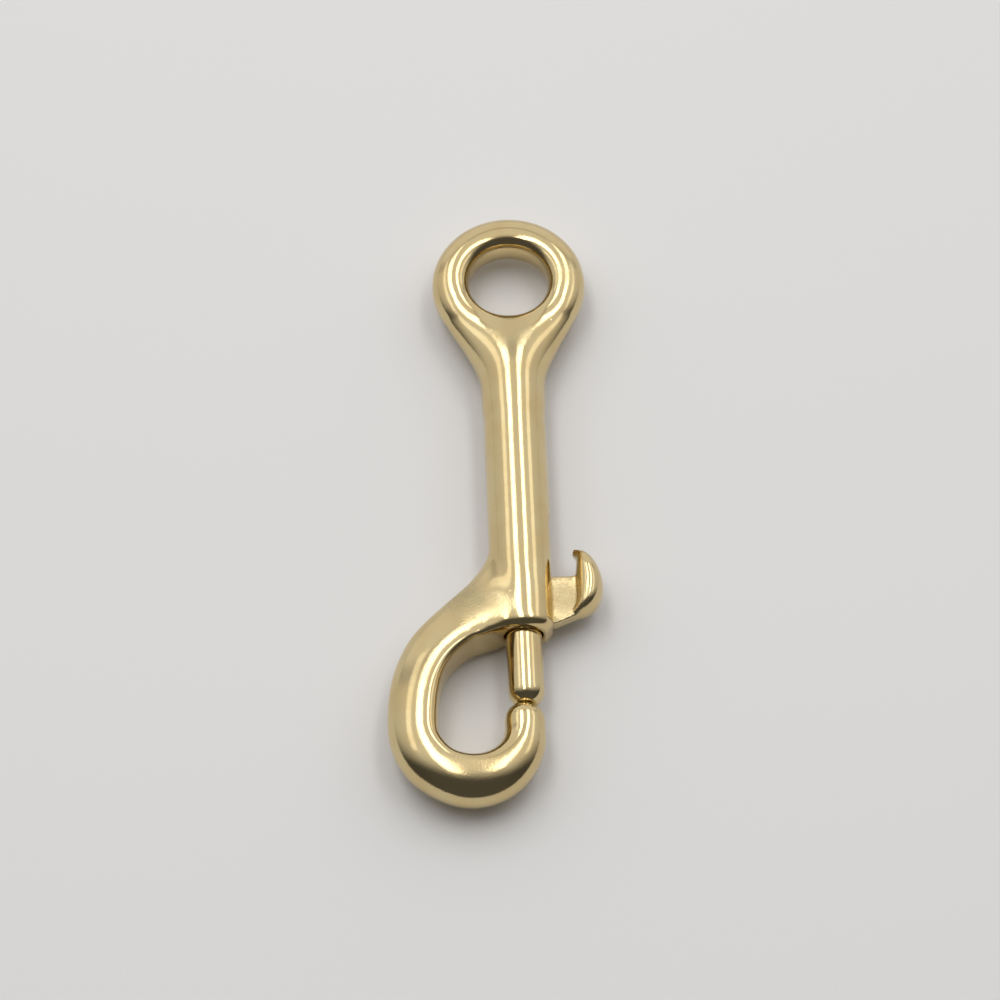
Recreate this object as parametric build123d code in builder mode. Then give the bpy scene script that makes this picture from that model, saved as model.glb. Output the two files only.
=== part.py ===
"""Fixed-eye bolt snap hook in cast brass: hook body, sliding bolt with its thumb lever, and return spring.

The snap lies flat. Barrel and bolt run along Y with the eye at the +Y end, the hook bends round towards -X
and the thumb lever stands out towards +X. Places are measured in plan from the centre of the eye, on the axis
of the bolt, and plan(x, y, z) brings them into the part's frame, whose origin is under the middle of the snap.
Sizes are millimetres and angles degrees.
"""
import os
from math import cos, radians, sin, sqrt
from typing import NamedTuple

from build123d import *

# Eye: a ring whose crest lies nearer its hole, and the neck that runs from it into the barrel
eye_bore = 12.0
eye_wall = 5.7
eye_crest = 2.4
eye_depth = 6.2
neck_taper = 28.5
neck_softness = 0.6
neck_cover = 0.06
neck_start = 5.6
neck_round = 12.0
neck_rise = 17.0
neck_end = 25.2

# Barrel, with the blind bore for the bolt and its spring
barrel_diameter = 9.3
barrel_end = 60.6
barrel_rounding = 1.6
bore_depth = 40.0
bore_clearance = 0.1
bore_chamfer = 0.2

# Bolt pin
bolt_diameter = 5.3
bolt_engagement = 21.6
tail_chamfer = 0.5
tip_flat = 2.8
closing_gap = 0.08

# Thumb lever: the web through the barrel's slot, and the pad
web_thickness = 2.0
web_top = 9.4
web_foot = 1.6
web_slope = 22.5
web_setback = 0.6
pad_reach = 7.25
pad_thickness = 4.1
pad_width = 6.0
travel = 10.0
slot_clearance = 0.15
slot_end_clearance = 0.25
slot_corner = 0.5
staking_depth = 0.3

# Hook: the inner circle of its bow, its limb and its nose
loop_radius = 4.65
loop_drop = 14.7
limb_thickness = 7.45
limb_depth = 8.2
root_cover = 0.5
nose_diameter = 6.0
nose_offset = 0.45
nose_drop = 13.7

# Return spring
wire_diameter = 0.5
spring_diameter = 4.7
spring_turns = 9
spring_seat = 0.05

# Reach of the hook and overall length, which place the part's frame
hook_reach = 20.3
overall_length = 99.35

barrel_radius = barrel_diameter / 2
bolt_radius = bolt_diameter / 2
bore_radius = bolt_radius + bore_clearance
nose_radius = nose_diameter / 2
eye_radius = eye_bore / 2 + eye_wall
ring_radius = eye_bore / 2 + eye_crest
lever_reach = barrel_radius + pad_reach

axis_x = (hook_reach - lever_reach) / 2
eye_y = overall_length / 2 - eye_radius
axis_z = barrel_radius

web_top_y = -barrel_end + web_top
web_foot_y = -barrel_end + web_foot
slot_half_width = web_thickness / 2 + slot_clearance
slot_top = web_top_y + travel + slot_end_clearance
slot_foot = web_foot_y - slot_end_clearance
bolt_tail = -barrel_end + bolt_engagement
bore_end = -barrel_end + bore_depth

bow_x = -nose_offset - nose_radius - loop_radius
bow_y = -barrel_end - loop_drop
nose_y = -barrel_end - nose_drop
nose_height = sqrt(nose_radius**2 - (tip_flat / 2) ** 2)
bolt_tip = nose_y + nose_height + closing_gap

# Fullness of a quarter section, the reach of its handles as a share of its half axes: ROUND draws an ellipse,
# more makes a squarer shoulder and less a flatter slope
ROUND = 0.5523
eye_shoulder = 0.68
eye_flank = 0.58
neck_shoulder = 0.75


def plan(x, y, z=0.0):
    """The point of the frame at x and y in plan from the eye's centre, and z above the bolt's axis."""
    return Vector(axis_x + x, eye_y + y, axis_z + z)


def across_barrel(y):
    """The plane across the barrel at y, which faces the open end."""
    return Plane(plan(0, y), x_dir=(1, 0, 0), z_dir=(0, -1, 0))


class Rib(NamedTuple):
    """A section across the limb of the hook, from a point of its inner edge outwards along a bearing."""

    inner_x: float
    inner_y: float
    bearing: float
    thickness: float
    crest: float
    depth: float
    shoulder: float
    flank: float

    def plane(self):
        """The section's plane: origin on the crest, x towards the inner edge and y along Z."""
        out_x = cos(radians(self.bearing))
        out_y = sin(radians(self.bearing))
        crest = plan(self.inner_x + self.crest * out_x, self.inner_y + self.crest * out_y)
        return Plane(crest, x_dir=(-out_x, -out_y, 0), z_dir=(-out_y, out_x, 0))


def quarter(x, y, fullness):
    """Draw a quarter of a section, from its end on the x axis to its end on the y axis."""
    Bezier((x, 0), (x, fullness * y), (fullness * x, y), (0, y))


def draw_half(reach, half_depth, fullness):
    """Draw the half of a section that lies on one side of its crest."""
    quarter(reach, half_depth, fullness)
    quarter(reach, -half_depth, fullness)


def draw_section(inner, outer, half_depth, shoulder, flank):
    """Draw a section about its crest, with its inner half to +x and its outer half to -x."""
    draw_half(inner, half_depth, shoulder)
    draw_half(-outer, half_depth, flank)


def draw_circle(radius):
    """Draw a circle as four arcs, so that a loft runs into it from a section of four quarters."""
    for start in (0, 90, 180, 270):
        CenterArc((0, 0), radius, start, 90)


def root_rib(inset, rise, bearing, thickness, crest, shoulder, flank):
    """A rib of the limb's root, inside the barrel, which it leaves on its outer side only."""
    depth = barrel_diameter - 2 * root_cover
    return Rib(barrel_radius - inset, -barrel_end + rise, bearing, thickness, crest, depth, shoulder, flank)


def arm_rib(inset, drop, bearing, thickness, crest, depth, shoulder, flank):
    """A rib of the arm, placed from the inner wall of the bow and the end of the barrel."""
    inner_x = bow_x - loop_radius + inset
    limb = limb_thickness * thickness
    return Rib(inner_x, -barrel_end - drop, bearing, limb, crest, limb_depth * depth, shoulder, flank)


def bow_rib(bearing, thickness, crest, depth, shoulder, flank):
    """A rib of the bow, on the bow's inner circle."""
    inner_x = bow_x + loop_radius * cos(radians(bearing))
    inner_y = bow_y + loop_radius * sin(radians(bearing))
    limb = limb_thickness * thickness
    return Rib(inner_x, inner_y, bearing, limb, crest, limb_depth * depth, shoulder, flank)


def nose_rib(drop):
    """A round rib of the nose, below the centre of its domed end."""
    inner_x = -nose_offset - nose_radius
    return Rib(inner_x, nose_y - drop, 360, nose_diameter, nose_radius, nose_diameter, ROUND, ROUND)


limb_ribs = [
    root_rib(0.3, 19.0, 180, barrel_diameter - 0.6, barrel_radius - 0.3, ROUND, ROUND),
    root_rib(0.8, 14.3, 171, 8.5, 3.9, ROUND, 0.53),
    root_rib(1.6, 8.8, 158, 9.1, 3.3, 0.62, 0.5),
    root_rib(3.5, 4.2, 147, 10.0, 2.1, 0.74, 0.46),
    arm_rib(11.35, -0.9, 145, 1.41, 1.4, 0.99, 0.82, 0.44),
    arm_rib(7.85, 0.7, 150, 1.275, 1.1, 0.93, 0.85, 0.43),
    arm_rib(4.65, 2.0, 157, 1.12, 1.05, 0.89, 0.85, 0.43),
    arm_rib(2.55, 3.75, 163, 1.035, 1.15, 0.89, 0.83, 0.44),
    arm_rib(1.15, 6.2, 169, 1.0, 1.4, 0.91, 0.8, 0.47),
    arm_rib(0.4, 9.2, 174, 1.0, 1.75, 0.94, 0.77, 0.5),
    arm_rib(0.1, 12.0, 177, 1.0, 1.9, 0.97, 0.76, 0.52),
    bow_rib(180, 0.99, 1.95, 0.98, 0.76, 0.53),
    bow_rib(205, 0.965, 2.0, 1.0, 0.76, ROUND),
    bow_rib(228, 0.955, 2.1, 1.01, 0.76, ROUND),
    bow_rib(250, 0.975, 2.2, 1.01, 0.74, ROUND),
    bow_rib(270, 1.01, 2.3, 1.0, 0.71, ROUND),
    bow_rib(292, 0.985, 2.45, 0.95, 0.67, ROUND),
    bow_rib(318, 0.91, 2.75, 0.88, 0.62, ROUND),
    bow_rib(342, 0.84, 2.9, 0.79, 0.57, ROUND),
    nose_rib(1.3),
]

with BuildPart() as hook_limb:
    # from the root in the barrel round the bow to the nose
    for rib in limb_ribs:
        with BuildSketch(rib.plane()):
            with BuildLine():
                draw_section(rib.crest, rib.thickness - rib.crest, rib.depth / 2, rib.shoulder, rib.flank)
            make_face()
    with BuildSketch(nose_rib(0).plane()):
        with BuildLine():
            draw_circle(nose_radius)
        make_face()
    loft()
    # domed end of the nose, with the small flat that the bolt closes against
    with BuildSketch(Plane(plan(-nose_offset, nose_y))):
        with BuildLine():
            Polyline((nose_radius, 0), (0, 0), (0, nose_height), (tip_flat / 2, nose_height))
            RadiusArc((tip_flat / 2, nose_height), (nose_radius, 0), nose_radius)
        make_face()
    revolve(axis=Axis(plan(-nose_offset, nose_y), (0, 1, 0)))


def neck_half_width(distance):
    """The neck's half width below the eye: a straight flank that runs softly into the barrel."""
    taper = radians(neck_taper)
    excess = (eye_radius - neck_cover - distance * sin(taper)) / cos(taper) - barrel_radius
    return barrel_radius + (excess + sqrt(excess**2 + 4 * neck_softness**2)) / 2


def neck_half_depth(distance):
    """The neck's half depth below the eye, which rises from the ring's crest to the barrel."""
    start = eye_depth / 2 - neck_cover
    share = min(1, (distance - neck_start) / (neck_rise - neck_start))
    return start + sin(radians(90 * share)) * (barrel_radius - start)


def neck_fullness(distance):
    """The fullness of the neck's section, which is square shouldered in the ring and soon an ellipse."""
    share = min(1, (distance - neck_start) / (neck_round - neck_start))
    return neck_shoulder + share * (ROUND - neck_shoulder)


neck_steps = 7
with BuildPart() as neck:
    for step in range(neck_steps):
        distance = neck_start + (neck_end - neck_start) * step / neck_steps
        half_width = neck_half_width(distance)
        fullness = neck_fullness(distance)
        with BuildSketch(across_barrel(-distance)):
            with BuildLine():
                draw_section(half_width, half_width, neck_half_depth(distance), fullness, fullness)
            make_face()
    with BuildSketch(across_barrel(-neck_end)):
        with BuildLine():
            draw_circle(barrel_radius)
        make_face()
    loft()
    # the neck stops under the crest of the ring, clear of the eye's hole
    with BuildSketch(Plane(plan(0, 0))):
        Circle(ring_radius)
    extrude(amount=eye_depth, both=True, mode=Mode.SUBTRACT)

with BuildPart() as ring:
    # the inner and the outer half of the ring's section, which meet on its crest
    for reach, fullness in ((eye_crest, eye_shoulder), (eye_crest - eye_wall, eye_flank)):
        with BuildSketch(Plane(plan(0, ring_radius), x_dir=(0, -1, 0), z_dir=(1, 0, 0))):
            with BuildLine():
                draw_half(reach, eye_depth / 2, fullness)
                Line((0, -eye_depth / 2), (0, eye_depth / 2))
            make_face()
        revolve(axis=Axis(plan(0, 0), (0, 0, 1)))

with BuildPart() as hook_body:
    # barrel, rounded over at its open end as far as the wall round the bore allows
    with BuildSketch(across_barrel(-neck_end)):
        Circle(barrel_radius)
    extrude(amount=barrel_end - neck_end)
    mouth_wall = barrel_radius - bore_radius - bore_chamfer
    end_rounding = min(barrel_rounding, 0.95 * mouth_wall)
    fillet(hook_body.edges().sort_by(Axis.Y)[0], end_rounding)
    add(neck.part)
    add(ring.part)
    add(hook_limb.part)
    # blind bore, countersunk at its mouth
    with BuildSketch(Plane(plan(0, -barrel_end))):
        with BuildLine():
            Polyline(
                (0, -bore_chamfer),
                (bore_radius + 2 * bore_chamfer, -bore_chamfer),
                (bore_radius, bore_chamfer),
                (bore_radius, bore_depth),
                (0, bore_depth),
                close=True,
            )
        make_face()
    revolve(axis=Axis(plan(0, 0), (0, 1, 0)), mode=Mode.SUBTRACT)
    # slot for the web of the lever
    slot_length = slot_top - slot_foot
    with BuildSketch(Plane(plan(0, slot_foot + slot_length / 2), x_dir=(0, 1, 0), z_dir=(1, 0, 0))):
        RectangleRounded(slot_length, 2 * slot_half_width, slot_corner)
    extrude(amount=barrel_diameter, mode=Mode.SUBTRACT)
    # flat left where the end of the slot was staked over behind the lever
    corner = barrel_radius - end_rounding * (1 - cos(radians(45)))
    corner_y = -barrel_end + barrel_radius - corner
    with BuildSketch(Plane(plan(corner, corner_y), x_dir=(0, 0, 1), z_dir=(1, -1, 0)).offset(-staking_depth)):
        Rectangle(barrel_diameter, barrel_diameter / 2)
    extrude(amount=end_rounding, mode=Mode.SUBTRACT)
hook_body.part.label = "hook_body"


class PadStation(NamedTuple):
    """An oval section of the thumb pad, square to the pad's curved middle line."""

    inset: float
    rise: float
    heading: float
    thickness: float
    width: float

    def plane(self):
        """The section's plane, which faces down the pad with its x axis away from the barrel."""
        turn = radians(self.heading)
        centre = plan(lever_reach - self.inset, -barrel_end + self.rise)
        return Plane(centre, x_dir=(sin(turn), cos(turn), 0), z_dir=(cos(turn), -sin(turn), 0))


pad_stations = [
    PadStation(4.2, web_top + 4.3, 20, 0.2, 0.28),
    PadStation(3.35, web_top + 3.65, 38, 0.38, 0.58),
    PadStation(2.6, web_top + 2.2, 65, 0.71, 0.88),
    PadStation(2.15, web_top + 0.2, 83, 0.93, 0.99),
    PadStation(2.05, web_foot + 6.1, 96, 1.0, 1.0),
    PadStation(2.4, web_foot + 4.1, 112, 0.88, 0.97),
    PadStation(3.35, web_foot + 2.6, 135, 0.57, 0.76),
    PadStation(4.5, web_foot + 1.8, 152, 0.31, 0.42),
]

with BuildPart() as bolt:
    # pin, with its domed tip and chamfered tail
    shoulder = bolt_tip + sqrt(bolt_radius**2 - (tip_flat / 2) ** 2)
    with BuildSketch(Plane(plan(0, 0))):
        with BuildLine():
            Polyline(
                (tip_flat / 2, bolt_tip),
                (0, bolt_tip),
                (0, bolt_tail),
                (bolt_radius - tail_chamfer, bolt_tail),
                (bolt_radius, bolt_tail - tail_chamfer),
                (bolt_radius, shoulder),
            )
            RadiusArc((bolt_radius, shoulder), (tip_flat / 2, bolt_tip), bolt_radius)
        make_face()
    revolve(axis=Axis(plan(0, 0), (0, 1, 0)))
    # web of the lever, from the pin through the slot into the pad
    web_end = lever_reach - pad_thickness / 2 - web_setback
    web_end_y = web_foot_y + (web_end - barrel_radius) * sin(radians(web_slope)) / cos(radians(web_slope))
    with BuildSketch(Plane(plan(0, 0, -web_thickness / 2))):
        with BuildLine():
            Polyline(
                (0, web_top_y),
                (web_end, web_top_y),
                (web_end, web_end_y),
                (barrel_radius, web_foot_y),
                (0, web_foot_y),
                close=True,
            )
        make_face()
    extrude(amount=web_thickness)
    # thumb pad, which curls over towards the barrel at its upper end
    for station in pad_stations:
        with BuildSketch(station.plane()):
            Ellipse(pad_thickness / 2 * station.thickness, pad_width / 2 * station.width)
    loft()
bolt.part.label = "bolt"

with BuildPart() as bolt_spring:
    # coil between the bolt's tail and the blind end of the bore: its wire has six flats
    spring_foot = bolt_tail + spring_seat + wire_diameter / 2
    spring_length = bore_end - spring_seat - wire_diameter / 2 - spring_foot
    with BuildLine() as coil:
        Helix(
            pitch=spring_length / spring_turns,
            height=spring_length,
            radius=(spring_diameter - wire_diameter) / 2,
            center=plan(0, spring_foot),
            direction=(0, 1, 0),
        )
    with BuildSketch(Plane(coil.line @ 0, z_dir=coil.line % 0)):
        RegularPolygon(wire_diameter / 2, 6)
    sweep(is_frenet=True)
bolt_spring.part.label = "bolt_spring"

os.makedirs("parts", exist_ok=True)
export_step(hook_body.part, "parts/hook_body.step")
export_step(bolt.part, "parts/bolt.step")
export_step(bolt_spring.part, "parts/bolt_spring.step")
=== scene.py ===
"""Cast brass bolt snap hook, lying on a pale table.

Two castings and a hidden spring are dressed over the solids of the frame. The table, the lamps, the
room's light and the camera stand round them.
"""
import logging
import math
from dataclasses import dataclass
from enum import Enum

import bmesh
import bpy
import numpy as np
from mathutils import Matrix, Vector
from mathutils.bvhtree import BVHTree
from mathutils.geometry import interpolate_bezier


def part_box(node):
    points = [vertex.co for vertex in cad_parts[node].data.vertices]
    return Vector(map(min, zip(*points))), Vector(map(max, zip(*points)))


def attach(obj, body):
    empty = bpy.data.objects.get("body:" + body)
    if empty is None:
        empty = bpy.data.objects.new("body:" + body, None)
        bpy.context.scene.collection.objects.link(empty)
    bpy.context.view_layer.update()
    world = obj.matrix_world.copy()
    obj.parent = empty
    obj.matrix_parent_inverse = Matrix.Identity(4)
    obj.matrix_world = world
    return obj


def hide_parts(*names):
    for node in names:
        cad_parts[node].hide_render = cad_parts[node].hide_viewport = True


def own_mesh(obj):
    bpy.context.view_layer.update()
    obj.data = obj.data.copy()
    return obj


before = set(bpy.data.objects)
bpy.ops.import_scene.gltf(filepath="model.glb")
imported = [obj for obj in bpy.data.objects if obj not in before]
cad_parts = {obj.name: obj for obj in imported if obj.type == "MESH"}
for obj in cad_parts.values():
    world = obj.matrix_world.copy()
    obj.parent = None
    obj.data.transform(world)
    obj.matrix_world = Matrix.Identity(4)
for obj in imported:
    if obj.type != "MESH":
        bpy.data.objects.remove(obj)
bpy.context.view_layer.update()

log = logging.getLogger("snap_hook")

MM = 0.001
TINY = 1e-9
UP = np.array((0.0, 0.0, 1.0))
Pair = tuple[float, float]
Triple = tuple[float, float, float]
Node = bpy.types.Node
Socket = bpy.types.NodeSocket

# The sockets of a Mix node that mixes two colours
MIX_SHARE, MIX_FIRST, MIX_SECOND, MIX_RESULT = 0, 6, 7, 2


class Tone(Enum):
    """Plain linear colours of the metals, the table and the lamps."""

    BRASS = (0.68, 0.55, 0.30)
    BRASS_WARM = (0.66, 0.51, 0.26)
    # Dull brass for the patches: rough cast skin, and painted shade on the barrel's shoulder
    BRASS_DULL = (0.42, 0.35, 0.20)
    STEEL = (0.62, 0.62, 0.62)
    STEEL_BLUE = (0.5, 0.5, 0.52)
    TABLE = (0.84, 0.835, 0.83)
    DAYLIGHT = (1.0, 0.99, 0.98)


class Graph:
    """A small helper that adds and joins the nodes of one node tree."""

    def __init__(self, tree: bpy.types.NodeTree) -> None:
        """Start from an empty tree."""
        self.tree = tree
        tree.nodes.clear()

    def add(self, kind: str, **settings: object) -> Node:
        """Add a node.

        Args:
            kind: The node's type name.
            settings: Its properties.

        Returns:
            The new node.
        """
        node = self.tree.nodes.new(kind)
        for name, value in settings.items():
            setattr(node, name, value)
        return node

    def place(self) -> Socket:
        """The object's own coordinates."""
        return self.add("ShaderNodeTexCoord").outputs["Object"]

    def put(self, target: Socket, value: object) -> None:
        """Join a socket to the target, or set the target's plain value.

        Args:
            target: The input that is fed.
            value: A socket, or a plain value of the target's kind.
        """
        if isinstance(value, bpy.types.NodeSocket):
            self.tree.links.new(value, target)
        else:
            target.default_value = value

    def math(self, operation: str, *values: object) -> Socket:
        """Do arithmetic on sockets or numbers.

        Args:
            operation: The Math node's operation.
            values: Its inputs, in order.

        Returns:
            The result.
        """
        node = self.add("ShaderNodeMath", operation=operation)
        for target, value in zip(node.inputs, values):
            self.put(target, value)
        return node.outputs[0]

    def noise(self, place: Socket, scale: object, detail: float) -> Socket:
        """Noise from 0 to 1 at a number of features in a metre.

        Args:
            place: The coordinates that it reads.
            scale: Features in a metre.
            detail: Octaves.

        Returns:
            The noise's value.
        """
        node = self.add("ShaderNodeTexNoise")
        self.put(node.inputs["Vector"], place)
        self.put(node.inputs["Scale"], scale)
        self.put(node.inputs["Detail"], detail)
        return node.outputs["Fac"]

    def split(self, vector: Socket) -> list[Socket]:
        """Part a vector or a colour.

        Args:
            vector: What is parted.

        Returns:
            Its three parts.
        """
        node = self.add("ShaderNodeSeparateXYZ")
        self.put(node.inputs[0], vector)
        return list(node.outputs)

    def window(self, value: Socket, low: object, high: object) -> Socket:
        """Rise smoothly from 0 at low to 1 at high.

        Args:
            value: What is measured.
            low: Where the rise starts.
            high: Where it ends.

        Returns:
            The share, from 0 to 1.
        """
        node = self.add("ShaderNodeMapRange", interpolation_type="SMOOTHSTEP")
        self.put(node.inputs["Value"], value)
        self.put(node.inputs["From Min"], low)
        self.put(node.inputs["From Max"], high)
        return node.outputs["Result"]

    def blend(self, share: Socket, first: object, second: object) -> Socket:
        """Mix two colours.

        Args:
            share: How much of the second.
            first: The colour at 0.
            second: The colour at 1.

        Returns:
            The mixed colour.
        """
        node = self.add("ShaderNodeMix", data_type="RGBA")
        self.put(node.inputs[MIX_SHARE], share)
        self.put(node.inputs[MIX_FIRST], first)
        self.put(node.inputs[MIX_SECOND], second)
        return node.outputs[MIX_RESULT]


def rgba(tone: Tone) -> tuple[float, float, float, float]:
    """The tone as a colour with full alpha."""
    return (*tone.value, 1.0)


def spot(x: float, y: float, z: float) -> Triple:
    """A place on the snap, given in millimetres."""
    return (x * MM, y * MM, z * MM)


def share_of(value: float) -> float:
    """The value, kept between 0 and 1."""
    return max(0.0, min(1.0, value))


def principled_material(name: str) -> tuple[bpy.types.Material, Graph, Node]:
    """Start a material that holds one Principled shader.

    Args:
        name: The material's name.

    Returns:
        The material, its graph and the shader.
    """
    material = bpy.data.materials.new(name)
    material.use_nodes = True
    graph = Graph(material.node_tree)
    shader = graph.add("ShaderNodeBsdfPrincipled")
    end = graph.add("ShaderNodeOutputMaterial")
    graph.put(end.inputs["Surface"], shader.outputs["BSDF"])
    return material, graph, shader


@dataclass(frozen=True)
class CastSkin:
    """The unevenness of a cast and buffed skin: a slow cloud, a fine grain and scattered pits.

    A cell has a pit where its own random number is past the pitted pair, and the pit's edge is given
    in cells.
    """

    cloud_octaves: float = 3.0
    grain_octaves: float = 4.0
    pitted: Pair = (0.62, 0.66)
    pit_edge: Pair = (0.07, 0.03)

    def build(self) -> bpy.types.NodeTree:
        """Build the group that every metal here uses.

        Returns:
            The group, with outputs Cloud, Grain and Height.
        """
        tree = bpy.data.node_groups.new("cast_skin", "ShaderNodeTree")
        tree.interface.new_socket("Place", in_out="INPUT", socket_type="NodeSocketVector")
        for name in ("Cloud Scale", "Grain Scale", "Pit Scale"):
            tree.interface.new_socket(name, in_out="INPUT", socket_type="NodeSocketFloat")
        for name in ("Cloud", "Grain", "Height"):
            tree.interface.new_socket(name, in_out="OUTPUT", socket_type="NodeSocketFloat")
        graph = Graph(tree)
        inlet = graph.add("NodeGroupInput")
        outlet = graph.add("NodeGroupOutput")
        place = inlet.outputs["Place"]
        cloud = graph.noise(place, inlet.outputs["Cloud Scale"], self.cloud_octaves)
        grain = graph.noise(place, inlet.outputs["Grain Scale"], self.grain_octaves)
        cells = graph.add("ShaderNodeTexVoronoi", feature="F1")
        graph.put(cells.inputs["Vector"], place)
        graph.put(cells.inputs["Scale"], inlet.outputs["Pit Scale"])
        chosen = graph.window(graph.split(cells.outputs["Color"])[0], *self.pitted)
        hollow = graph.window(cells.outputs["Distance"], *self.pit_edge)
        pits = graph.math("MULTIPLY", chosen, hollow)
        graph.put(outlet.inputs["Cloud"], cloud)
        graph.put(outlet.inputs["Grain"], grain)
        graph.put(outlet.inputs["Height"], graph.math("SUBTRACT", cloud, pits))
        return tree


@dataclass(frozen=True)
class MetalFinish:
    """Bare metal over the shared cast skin, whose scales are features in a metre."""

    name: str
    cloud_scale: float = 220.0
    grain_scale: float = 3200.0
    pit_scale: float = 260.0

    def make(self, skin: bpy.types.NodeTree) -> bpy.types.Material:
        """Build the material.

        Args:
            skin: The shared cast_skin group.

        Returns:
            The material.
        """
        material, graph, shader = principled_material(self.name)
        shader.inputs["Metallic"].default_value = 1.0
        surface = graph.add("ShaderNodeGroup", node_tree=skin)
        graph.put(surface.inputs["Place"], graph.place())
        surface.inputs["Cloud Scale"].default_value = self.cloud_scale
        surface.inputs["Grain Scale"].default_value = self.grain_scale
        surface.inputs["Pit Scale"].default_value = self.pit_scale
        self.dress(graph, shader, surface)
        return material

    def dress(self, graph: Graph, shader: Node, surface: Node) -> None:
        """Give the shader this metal's colour, roughness and relief.

        Args:
            graph: The material's graph.
            shader: Its Principled shader.
            surface: The cast skin in it.
        """
        raise NotImplementedError


@dataclass(frozen=True)
class Patch:
    """A round place on a casting where the skin is rough and its colour darker: rough as cast, and on
    the barrel's shoulder painted shade.
    """

    centre: Triple
    radius: float
    strength: float


@dataclass(frozen=True)
class BrassFinish(MetalFinish):
    """Cast brass, tumbled and buffed, duller and grainier in its rough patches, whose darker colour
    is in part painted shade.

    The roughness runs from polish to satin with the skin's cloud and rises to rough in the patches,
    whose edge and fraying are shares of their radius.
    """

    polish: float = 0.10
    satin: float = 0.14
    rough: float = 0.36
    cloudy: Pair = (0.35, 0.7)
    wave_depth: float = 0.05 * MM
    relief: float = 0.5
    grain_depth: float = 2.5
    skin_grain: float = 0.22
    patches: tuple[Patch, ...] = ()
    patch_edge: Pair = (1.3, 0.5)
    patch_fraying: float = 0.6
    tones: tuple[Tone, Tone] = (Tone.BRASS, Tone.BRASS_WARM)

    def patch_mask(self, graph: Graph, cloud: Socket) -> Socket | float:
        """Sum the patches, rough and darkened, the darkening on the barrel's shoulder being painted
        shade.

        Args:
            graph: The material's graph.
            cloud: The skin's cloud, which frays their edges.

        Returns:
            The mask, 0 on the buffed skin, or plain 0 with no patches.
        """
        place = graph.place()
        total: Socket | float = 0.0
        for patch in self.patches:
            gap = graph.add("ShaderNodeVectorMath", operation="DISTANCE")
            graph.put(gap.inputs[0], place)
            graph.put(gap.inputs[1], patch.centre)
            fraying = self.patch_fraying * patch.radius
            frayed = graph.math("MULTIPLY_ADD", cloud, fraying, gap.outputs["Value"])
            outer, inner = (share * patch.radius for share in self.patch_edge)
            near = graph.window(frayed, outer, inner)
            total = graph.math("ADD", total, graph.math("MULTIPLY", near, patch.strength))
        return total

    def dress(self, graph: Graph, shader: Node, surface: Node) -> None:
        """Give the shader this metal's colour, roughness and relief.

        Args:
            graph: The material's graph.
            shader: Its Principled shader.
            surface: The cast skin in it.
        """
        cloud, grain = surface.outputs["Cloud"], surface.outputs["Grain"]
        mask = self.patch_mask(graph, cloud)
        cloudy = graph.window(cloud, *self.cloudy)
        first, second = self.tones
        colour = graph.blend(cloudy, rgba(first), rgba(second))
        # In the patches the colour darkens to dull brass: cast skin, and on the barrel's shoulder
        # painted shade
        dull_and_shade = graph.math("MULTIPLY", mask, grain)
        graph.put(shader.inputs["Base Color"], graph.blend(dull_and_shade, colour, rgba(Tone.BRASS_DULL)))
        worn = graph.math("MULTIPLY", cloudy, self.satin - self.polish)
        cast = graph.math("MULTIPLY", mask, self.rough - self.polish)
        roughness = graph.math("ADD", graph.math("ADD", self.polish, worn), cast)
        graph.put(shader.inputs["Roughness"], roughness)
        bump = graph.add("ShaderNodeBump")
        bump.inputs["Distance"].default_value = self.wave_depth
        bump.inputs["Strength"].default_value = self.relief
        depth = graph.math("MULTIPLY_ADD", mask, self.grain_depth, self.skin_grain)
        grainy = graph.math("MULTIPLY", grain, depth)
        graph.put(bump.inputs["Height"], graph.math("ADD", surface.outputs["Height"], grainy))
        graph.put(shader.inputs["Normal"], bump.outputs["Normal"])


@dataclass(frozen=True)
class SteelFinish(MetalFinish):
    """Drawn stainless wire, clouded and lightly grained."""

    cloud_scale: float = 400.0
    grain_scale: float = 6000.0
    pit_scale: float = 1500.0
    smooth: float = 0.2
    grain_roughness: float = 0.15
    tones: tuple[Tone, Tone] = (Tone.STEEL, Tone.STEEL_BLUE)

    def dress(self, graph: Graph, shader: Node, surface: Node) -> None:
        """Give the shader this metal's colour and roughness; its relief is too fine to show.

        Args:
            graph: The material's graph.
            shader: Its Principled shader.
            surface: The cast skin in it.
        """
        first, second = self.tones
        colour = graph.blend(surface.outputs["Cloud"], rgba(first), rgba(second))
        graph.put(shader.inputs["Base Color"], colour)
        grainy = graph.math("MULTIPLY", surface.outputs["Grain"], self.grain_roughness)
        graph.put(shader.inputs["Roughness"], graph.math("ADD", self.smooth, grainy))


@dataclass(frozen=True)
class CardFinish:
    """Pale matt card, the table's top."""

    name: str = "table_card"
    tone: Tone = Tone.TABLE
    rough: float = 0.9
    specular: float = 0.2

    def make(self) -> bpy.types.Material:
        """Build the material.

        Returns:
            The material.
        """
        material, _, shader = principled_material(self.name)
        shader.inputs["Base Color"].default_value = rgba(self.tone)
        shader.inputs["Roughness"].default_value = self.rough
        shader.inputs["Specular IOR Level"].default_value = self.specular
        return material


@dataclass(frozen=True)
class Softening:
    """A round place on a casting where the buffing has run two forms into each other."""

    centre: Triple
    radius: float
    core: float = 0.5

    def weight(self, place: Vector) -> float:
        """How much of the softening a point takes: all of it in the core, none from the radius on."""
        share = (place - Vector(self.centre)).length / self.radius
        return share_of((1.0 - share) / (1.0 - self.core))


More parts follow.
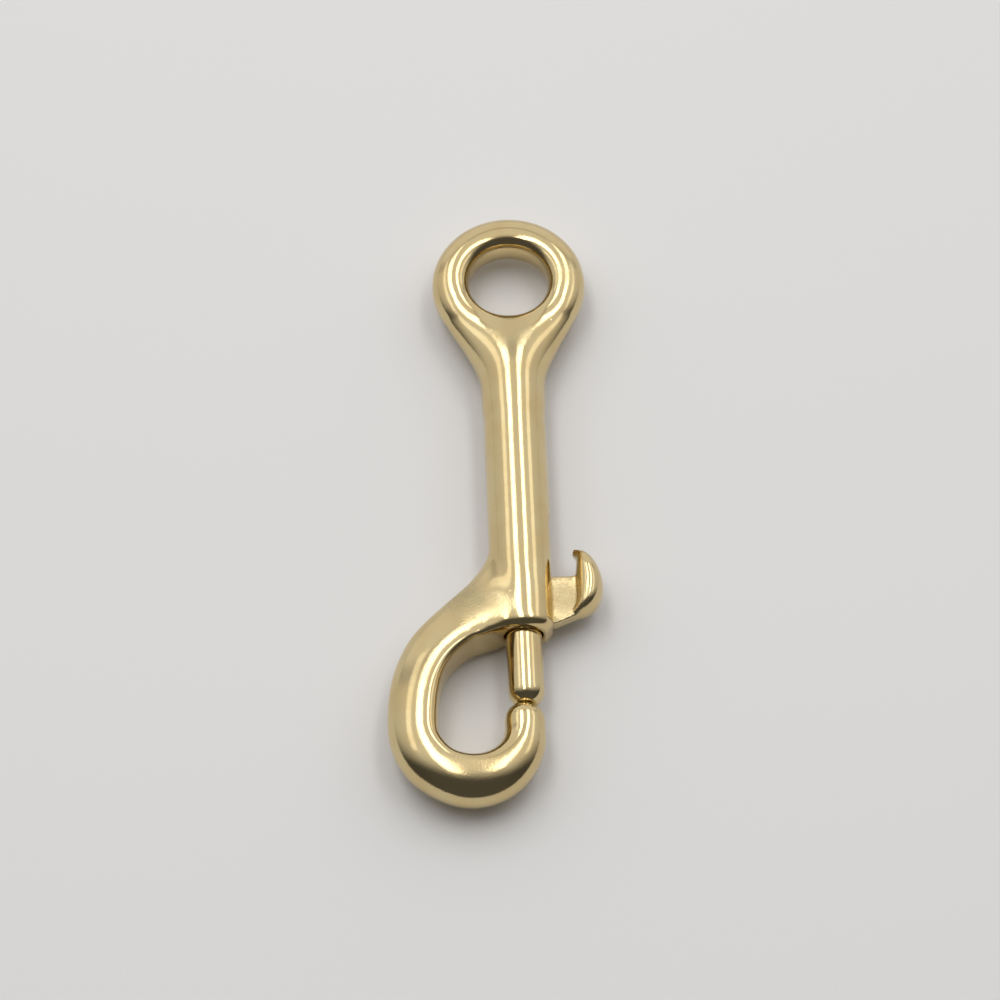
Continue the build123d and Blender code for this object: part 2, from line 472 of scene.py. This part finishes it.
@dataclass
class Casting:
    """A rigid casting, laid over its CAD solid as a fine even skin."""

    piece: str
    node: str
    body: str
    finish: BrassFinish
    voxel: float
    passes: int
    softenings: tuple[Softening, ...] = ()
    soft_passes: int = 150
    smoothing: float = 0.5
    weld: float = 0.001 * MM

    def merged_copy(self) -> bpy.types.Mesh:
        """Copy the solid's mesh and weld it.

        Returns:
            The welded mesh.
        """
        shell = bmesh.new()
        shell.from_mesh(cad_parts[self.node].data)
        bmesh.ops.remove_doubles(shell, verts=shell.verts, dist=self.weld)
        mesh = bpy.data.meshes.new(self.piece)
        shell.to_mesh(mesh)
        shell.free()
        return mesh

    def modified(self, mesh: bpy.types.Mesh, kind: str, **settings: object) -> bpy.types.Mesh:
        """Put one modifier on a mesh and take its result.

        Args:
            mesh: The mesh to work on.
            kind: The modifier's type.
            settings: Its properties, and weights for a vertex group.

        Returns:
            The new mesh.
        """
        weights = settings.pop("weights", None)
        holder = bpy.data.objects.new(self.piece, mesh)
        bpy.context.collection.objects.link(holder)
        step = holder.modifiers.new(kind.lower(), kind)
        for name, value in settings.items():
            setattr(step, name, value)
        if weights is not None:
            group = holder.vertex_groups.new(name="soft")
            for index, weight in weights.items():
                group.add([index], weight, "REPLACE")
            step.vertex_group = group.name
        finished = holder.evaluated_get(bpy.context.evaluated_depsgraph_get())
        result = bpy.data.meshes.new_from_object(finished)
        bpy.data.objects.remove(holder)
        bpy.data.meshes.remove(mesh)
        return result

    def soft_weights(self, mesh: bpy.types.Mesh) -> dict[int, float]:
        """Work out how much each vertex is softened.

        Args:
            mesh: The skin.

        Returns:
            The weight of each vertex that takes any.
        """
        weights = {}
        for vertex in mesh.vertices:
            weight = max(soft.weight(vertex.co) for soft in self.softenings)
            if weight > 0:
                weights[vertex.index] = weight
        return weights

    def shape(self) -> bpy.types.Mesh:
        """Lay the skin over the solid and even it out.

        Returns:
            The skin's mesh.
        """
        mesh = self.modified(self.merged_copy(), "REMESH", mode="VOXEL", voxel_size=self.voxel)
        mesh = self.modified(mesh, "SMOOTH", factor=self.smoothing, iterations=self.passes)
        if self.softenings:
            mesh = self.modified(mesh, "SMOOTH", factor=self.smoothing, iterations=self.soft_passes,
                                 weights=self.soft_weights(mesh))
        return mesh

    def build(self, skin: bpy.types.NodeTree) -> bpy.types.Object:
        """Build the skin, dress it and hand it its place.

        Args:
            skin: The shared cast_skin group.

        Returns:
            The finished piece.
        """
        mesh = self.shape()
        mesh.name = self.piece
        mesh.polygons.foreach_set("use_smooth", [True] * len(mesh.polygons))
        mesh.materials.clear()
        mesh.materials.append(self.finish.make(skin))
        piece = bpy.data.objects.new(self.piece, mesh)
        bpy.context.collection.objects.link(piece)
        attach(piece, self.body)
        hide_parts(self.node)
        return piece


@dataclass
class HookCasting(Casting):
    """The hook's body, whose limb is buffed even from the arm round the bow to the nose."""

    # The line through the middle of the limb: down the arm, then round the bow to the nose
    bow_centre: Pair = (-3.9 * MM, -37.325 * MM)
    bow_radius: float = 8.3 * MM
    middle: float = 4.65 * MM
    arm_knots: tuple[Pair, ...] = ((-4.8 * MM, -20.9 * MM), (-10.3 * MM, -25.5 * MM),
                                   (-12.2 * MM, -31.3 * MM), (-12.2 * MM, -37.325 * MM))
    arm_points: int = 40
    bow_bearings: Pair = (183.0, 366.0)
    bearing_step: float = 3.0
    # The bolt's bore: nothing is softened out to the first distance, all of it from the second on
    bore_axis: Pair = (4.2 * MM, 4.65 * MM)
    bore_span: Pair = (3.2 * MM, 4.0 * MM)
    bore_end: float = 20 * MM
    # The evening: stations a step apart along the line, and columns round it
    step: float = 0.4 * MM
    columns: int = 72
    evening: float = 1.8 * MM
    fade: float = 3.0 * MM
    widest: float = 6.3 * MM
    skin_band: float = 0.5 * MM
    least_free: float = 0.5

    def soft_weights(self, mesh: bpy.types.Mesh) -> dict[int, float]:
        """Work out how much each vertex is softened, with nothing moved in the bolt's bore.

        Args:
            mesh: The skin.

        Returns:
            The weight of each vertex that takes any.
        """
        weights = super().soft_weights(mesh)
        low, high = self.bore_span
        for index in weights:
            place = mesh.vertices[index].co
            if place.y < self.bore_end:
                gap = math.hypot(place.x - self.bore_axis[0], place.z - self.bore_axis[1])
                weights[index] *= share_of((gap - low) / (high - low))
        return weights

    def line(self) -> np.ndarray:
        """Lay the line through the middle of the limb.

        Returns:
            Its stations, one step apart.
        """
        knots = [Vector((*knot, self.middle)) for knot in self.arm_knots]
        points = interpolate_bezier(*knots, self.arm_points)
        centre = Vector((*self.bow_centre, self.middle))
        for bearing in np.arange(*self.bow_bearings, self.bearing_step):
            turn = Matrix.Rotation(math.radians(bearing), 3, "Z")
            points.append(centre + turn @ Vector((self.bow_radius, 0, 0)))
        route = np.array(points)
        gaps = np.linalg.norm(np.diff(route, axis=0), axis=1)
        along = np.concatenate(([0.0], np.cumsum(gaps)))
        places = np.arange(0.0, along[-1], self.step)
        return np.stack([np.interp(places, along, route[:, axis]) for axis in range(3)], axis=1)

    def shape(self) -> bpy.types.Mesh:
        """Lay the skin, then even out the limb along its line.

        Returns:
            The skin's mesh.
        """
        mesh = super().shape()
        line = self.line()
        ahead = np.gradient(line, axis=0)
        ahead /= np.linalg.norm(ahead, axis=1, keepdims=True)
        side = np.cross(ahead, UP)
        reach = self.measure(mesh, line, side)
        shift = self.shifts(reach)
        places = np.empty(len(mesh.vertices) * 3)
        mesh.vertices.foreach_get("co", places)
        places = places.reshape(-1, 3)
        gaps = np.linalg.norm(places[:, None, :2] - line[None, :, :2], axis=2)
        station = gaps.argmin(axis=1)
        arm = places - line[station]
        run = (arm * ahead[station]).sum(axis=1)
        arm -= run[:, None] * ahead[station]
        length = np.linalg.norm(arm, axis=1)
        angle = np.arctan2(arm[:, 2], (arm * side[station]).sum(axis=1)) % (2 * math.pi)
        row = station + run / self.step
        column = angle / (2 * math.pi) * self.columns
        near = (row >= 0) & (row <= len(line) - 1)
        near &= np.abs(length - self.sample(reach, row, column)) < self.skin_band
        move = np.where(near, self.sample(shift, row, column), 0.0)
        places += arm * (move / np.maximum(length, TINY))[:, None]
        mesh.vertices.foreach_set("co", places.ravel())
        mesh.update()
        log.info("%s: limb evened by %.2f mm at most", self.piece, np.abs(move).max() / MM)
        return mesh

    def measure(self, mesh: bpy.types.Mesh, line: np.ndarray, side: np.ndarray) -> np.ndarray:
        """Measure from the limb's line out to its skin.

        Args:
            mesh: The skin.
            line: The stations.
            side: The level direction across the limb at each station.

        Returns:
            The reach at each station and column, and the widest where no skin is met.
        """
        shell = bmesh.new()
        shell.from_mesh(mesh)
        tree = BVHTree.FromBMesh(shell)
        reach = np.full((len(line), self.columns), self.widest)
        for column in range(self.columns):
            angle = 2 * math.pi * column / self.columns
            for station, start in enumerate(line):
                way = math.cos(angle) * side[station] + math.sin(angle) * UP
                hit = tree.ray_cast(Vector(start), Vector(way), self.widest)
                if hit[0] is not None:
                    reach[station, column] = hit[3]
        shell.free()
        return reach

    def shifts(self, reach: np.ndarray) -> np.ndarray:
        """Work out how far the buffing moves the skin.

        Args:
            reach: The reach at each station and column.

        Returns:
            The move outwards at each, nothing at the ends and where the limb runs into the
            barrel.
        """
        stations = np.arange(len(reach))
        spread = (stations[:, None] - stations[None, :]) * self.step / self.evening
        weights = np.exp(-0.5 * spread**2)
        free = (reach < self.widest).astype(float)
        even = (weights @ (reach * free)) / np.maximum(weights @ free, TINY)
        ends = np.minimum(stations, stations[::-1]) * self.step / self.fade
        share = (weights @ free) / weights.sum(axis=1, keepdims=True)
        share = np.clip((share - self.least_free) / (1 - self.least_free), 0, 1)
        share = share * np.clip(ends, 0, 1)[:, None] * free
        return (even - reach) * share

    def sample(self, grid: np.ndarray, row: np.ndarray, column: np.ndarray) -> np.ndarray:
        """Read a grid of stations and columns between its places.

        Args:
            grid: The values.
            row: Places along the line, in stations.
            column: Places around it, in columns.

        Returns:
            The value at each place.
        """
        last = len(grid) - 1.001  # just short of the last station, so that one more always follows
        row = np.clip(row, 0, last)
        low, left = row.astype(int), column.astype(int) % self.columns
        right = (left + 1) % self.columns
        down, across = row - low, column - np.floor(column)
        first = grid[low, left] * (1 - across) + grid[low, right] * across
        second = grid[low + 1, left] * (1 - across) + grid[low + 1, right] * across
        return first * (1 - down) + second * down


@dataclass
class ReturnSpring:
    """The coil spring in the blind bore, between the bolt's tail and the bore's end."""

    wire: float = 0.5 * MM
    outside: float = 4.7 * MM
    turns: int = 9
    steps_per_turn: int = 28
    wire_sides: int = 14
    seat: float = 0.05 * MM
    finish: SteelFinish = SteelFinish("drawn_steel")

    def build(self, skin: bpy.types.NodeTree) -> bpy.types.Object:
        """Coil the wire, dress it and attach it to the body.

        Args:
            skin: The shared cast_skin group.

        Returns:
            The finished piece.
        """
        low, high = (Vector(corner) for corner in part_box("bolt_spring"))
        axis = (low + high) / 2
        radius = (self.outside - self.wire) / 2
        foot = low.y + self.wire / 2
        head = high.y - self.wire / 2
        steps = self.turns * self.steps_per_turn
        coil = bmesh.new()
        place = Matrix.Translation((axis.x + radius, foot, axis.z))
        bmesh.ops.create_circle(coil, segments=self.wire_sides, radius=self.wire / 2, matrix=place)
        bmesh.ops.spin(coil, geom=coil.verts[:] + coil.edges[:], cent=(axis.x, foot, axis.z),
                       axis=(0, 1, 0), dvec=(0, (head - foot) / steps, 0),
                       angle=2 * math.pi * self.turns, steps=steps, use_merge=False)
        bmesh.ops.holes_fill(coil, edges=[edge for edge in coil.edges if edge.is_boundary])
        bmesh.ops.recalc_face_normals(coil, faces=coil.faces)
        mesh = bpy.data.meshes.new("return_spring")
        coil.to_mesh(mesh)
        coil.free()
        mesh.polygons.foreach_set("use_smooth", [True] * len(mesh.polygons))
        mesh.materials.append(self.finish.make(skin))
        piece = bpy.data.objects.new("return_spring", mesh)
        bpy.context.collection.objects.link(piece)
        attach(piece, "body")
        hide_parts("bolt_spring")
        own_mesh(piece)
        return piece


@dataclass(frozen=True)
class Panel:
    """A soft rectangular lamp, hung over the snap.

    The angles are degrees: how far over to the side and to the back of straight above it hangs, the
    width and length that it fills as seen from the snap, and its roll.
    """

    name: str
    over: float
    back: float
    width: float
    length: float
    roll: float
    radiance: float
    distance: float = 0.6

    def span(self, angle: float) -> float:
        """The length that fills an angle at the lamp's distance."""
        return 2 * self.distance * math.tan(math.radians(angle / 2))

    def build(self, turn: float) -> None:
        """Hang the lamp.

        Args:
            turn: The rig's turn about Z, in radians.
        """
        tilt = math.radians(math.hypot(self.over, self.back))
        bearing = math.atan2(self.back, self.over) + turn
        flat = math.sin(tilt)
        outward = Vector((flat * math.cos(bearing), flat * math.sin(bearing), math.cos(tilt)))
        rear = Vector((-math.sin(turn), math.cos(turn), 0.0))
        along = (rear - rear.dot(outward) * outward).normalized()
        basis = Matrix((along.cross(outward), along, outward)).transposed()
        rolled = basis @ Matrix.Rotation(math.radians(self.roll), 3, "Z")
        lamp = bpy.data.lights.new(self.name, "AREA")
        lamp.shape = "RECTANGLE"
        lamp.size = self.span(self.width)
        lamp.size_y = self.span(self.length)
        lamp.energy = self.radiance * math.pi * lamp.size * lamp.size_y
        lamp.color = Tone.DAYLIGHT.value
        holder = bpy.data.objects.new(self.name, lamp)
        holder.location = outward * self.distance
        holder.rotation_mode = "QUATERNION"
        holder.rotation_quaternion = rolled.to_quaternion()
        bpy.context.collection.objects.link(holder)
        log.info("lamp %s", self.name)


@dataclass(frozen=True)
class Room:
    """The light of the room round the table, dim on the near side where the maker stands.

    Each direction is a unit vector, so the spans and the beam are parts of one. A dark beam crosses
    the far side, and the light falls off a little to both sides.
    """

    level: float = 0.85
    dim: float = 0.09
    tip: float = 0.56
    spread: float = 0.18
    dim_span: Pair = (0.05, 0.72)
    beam: float = 0.69
    beam_width: float = 0.09
    beam_dimming: float = 0.35
    side_span: Pair = (0.55, 0.95)
    side_dimming: float = 0.2

    def build(self) -> None:
        """Make the room's light the scene's world."""
        world = bpy.data.worlds.new("room")
        bpy.context.scene.world = world
        world.use_nodes = True
        graph = Graph(world.node_tree)
        x, y, z = graph.split(graph.place())
        width = graph.math("ABSOLUTE", x)
        tipped = graph.math("MULTIPLY_ADD", z, self.tip, y)
        tipped = graph.math("MULTIPLY_ADD", width, self.spread, tipped)
        lit = graph.window(tipped, *self.dim_span)
        strength = graph.math("MULTIPLY_ADD", lit, self.level - self.dim, self.dim)
        off_beam = graph.math("ABSOLUTE", graph.math("SUBTRACT", y, self.beam))
        clear = graph.window(off_beam, 0.0, self.beam_width)
        clear = graph.math("MULTIPLY_ADD", clear, self.beam_dimming, 1 - self.beam_dimming)
        strength = graph.math("MULTIPLY", strength, clear)
        aside = graph.window(width, *self.side_span)
        aside = graph.math("MULTIPLY_ADD", aside, -self.side_dimming, 1.0)
        strength = graph.math("MULTIPLY", strength, aside)
        light = graph.add("ShaderNodeBackground")
        light.inputs["Color"].default_value = rgba(Tone.DAYLIGHT)
        graph.put(light.inputs["Strength"], strength)
        end = graph.add("ShaderNodeOutputWorld")
        graph.put(end.inputs["Surface"], light.outputs["Background"])


@dataclass
class Studio:
    """The pale table, the lamps over it, the room and the camera."""

    camera_place: Triple = (-0.0085, -0.27464, 0.48723)
    camera_aim: Triple = (0.00154, 0.00043, 0.00465)
    lens: float = 135.0
    sensor: float = 36.0
    nearest: float = 0.01
    table_reach: float = 3.0
    card: CardFinish = CardFinish()
    room: Room = Room()
    panels: tuple[Panel, ...] = (
        Panel("strip_left", over=-14.5, back=14.0, width=14.0, length=58.0, roll=6.0, radiance=2.6),
        Panel("strip_right", over=18.5, back=20.0, width=11.0, length=50.0, roll=0.0, radiance=2.6),
        Panel("side_left", over=-41.0, back=25.0, width=12.0, length=46.0, roll=0.0, radiance=0.6),
        Panel("side_right", over=46.5, back=28.0, width=11.0, length=42.0, roll=0.0, radiance=0.6),
    )

    def build(self) -> None:
        """Set out the table, the lamps, the room and the camera."""
        turn = -math.atan2(self.camera_aim[0] - self.camera_place[0],
                           self.camera_aim[1] - self.camera_place[1])
        for panel in self.panels:
            panel.build(turn)
        self.lay_table()
        self.room.build()
        self.set_camera()
        bpy.context.scene.view_settings.view_transform = "Standard"

    def lay_table(self) -> None:
        """Lay the table under the snap, as a stage piece."""
        board = bmesh.new()
        bmesh.ops.create_grid(board, x_segments=1, y_segments=1, size=self.table_reach)
        mesh = bpy.data.meshes.new("table")
        board.to_mesh(mesh)
        board.free()
        mesh.materials.append(self.card.make())
        table = bpy.data.objects.new("table", mesh)
        bpy.context.collection.objects.link(table)

    def set_camera(self) -> None:
        """Stand the camera over the near end of the snap."""
        eye = bpy.data.cameras.new("camera")
        eye.lens = self.lens
        eye.sensor_width = self.sensor
        eye.clip_start = self.nearest
        holder = bpy.data.objects.new("camera", eye)
        place, aim = Vector(self.camera_place), Vector(self.camera_aim)
        holder.location = place
        holder.rotation_mode = "QUATERNION"
        holder.rotation_quaternion = (aim - place).to_track_quat("-Z", "Y")
        bpy.context.collection.objects.link(holder)
        bpy.context.scene.camera = holder


BODY_BRASS = BrassFinish("buffed_brass", patches=(
    Patch(spot(-3.6, -18.0, 7.0), 5.0 * MM, 1.2),     # the barrel's shoulder over the arm: rough, and darkened as painted shade
    Patch(spot(0.4, -19.0, 7.6), 3.4 * MM, 0.7),      # on from there towards the bolt: rough, and painted shade that dims a highlight
    Patch(spot(-3.9, -44.3, 8.6), 5.5 * MM, 0.28),    # the bottom of the bow
    Patch(spot(4.2, 27.8, 8.1), 4.5 * MM, 0.35),      # the neck under the eye
    Patch(spot(12.6, 38.3, 7.7), 3.2 * MM, 0.35),     # the eye's right side
))
LEVER_BRASS = BrassFinish("lever_brass", grain_depth=9.0, patches=(
    Patch(spot(10.4, -17.0, 5.7), 4.5 * MM, 0.9),     # the web
))
BODY_SOFTENINGS = (
    Softening(spot(4.2, 30.5, 7.2), 9.0 * MM),        # the fork where the neck parts into the eye
    Softening(spot(0.3, -18.0, 7.6), 6.5 * MM),       # the corner between barrel and arm
    Softening(spot(1.6, -37.0, 6.5), 4.4 * MM),       # the nose's inner side
)


def main() -> None:
    """Build the snap and its studio."""
    logging.basicConfig(level=logging.INFO, format="%(message)s")
    skin = CastSkin().build()
    makers = (
        HookCasting("hook_casting", "hook_body", "body", BODY_BRASS, voxel=0.25 * MM, passes=10,
                    softenings=BODY_SOFTENINGS),
        Casting("bolt_casting", "bolt", "bolt", LEVER_BRASS, voxel=0.16 * MM, passes=12),
        ReturnSpring(),
    )
    for maker in makers:
        piece = maker.build(skin)
        log.info("%s: %d faces", piece.name, len(piece.data.polygons))
    Studio().build()


if __name__ == "__main__":
    main()
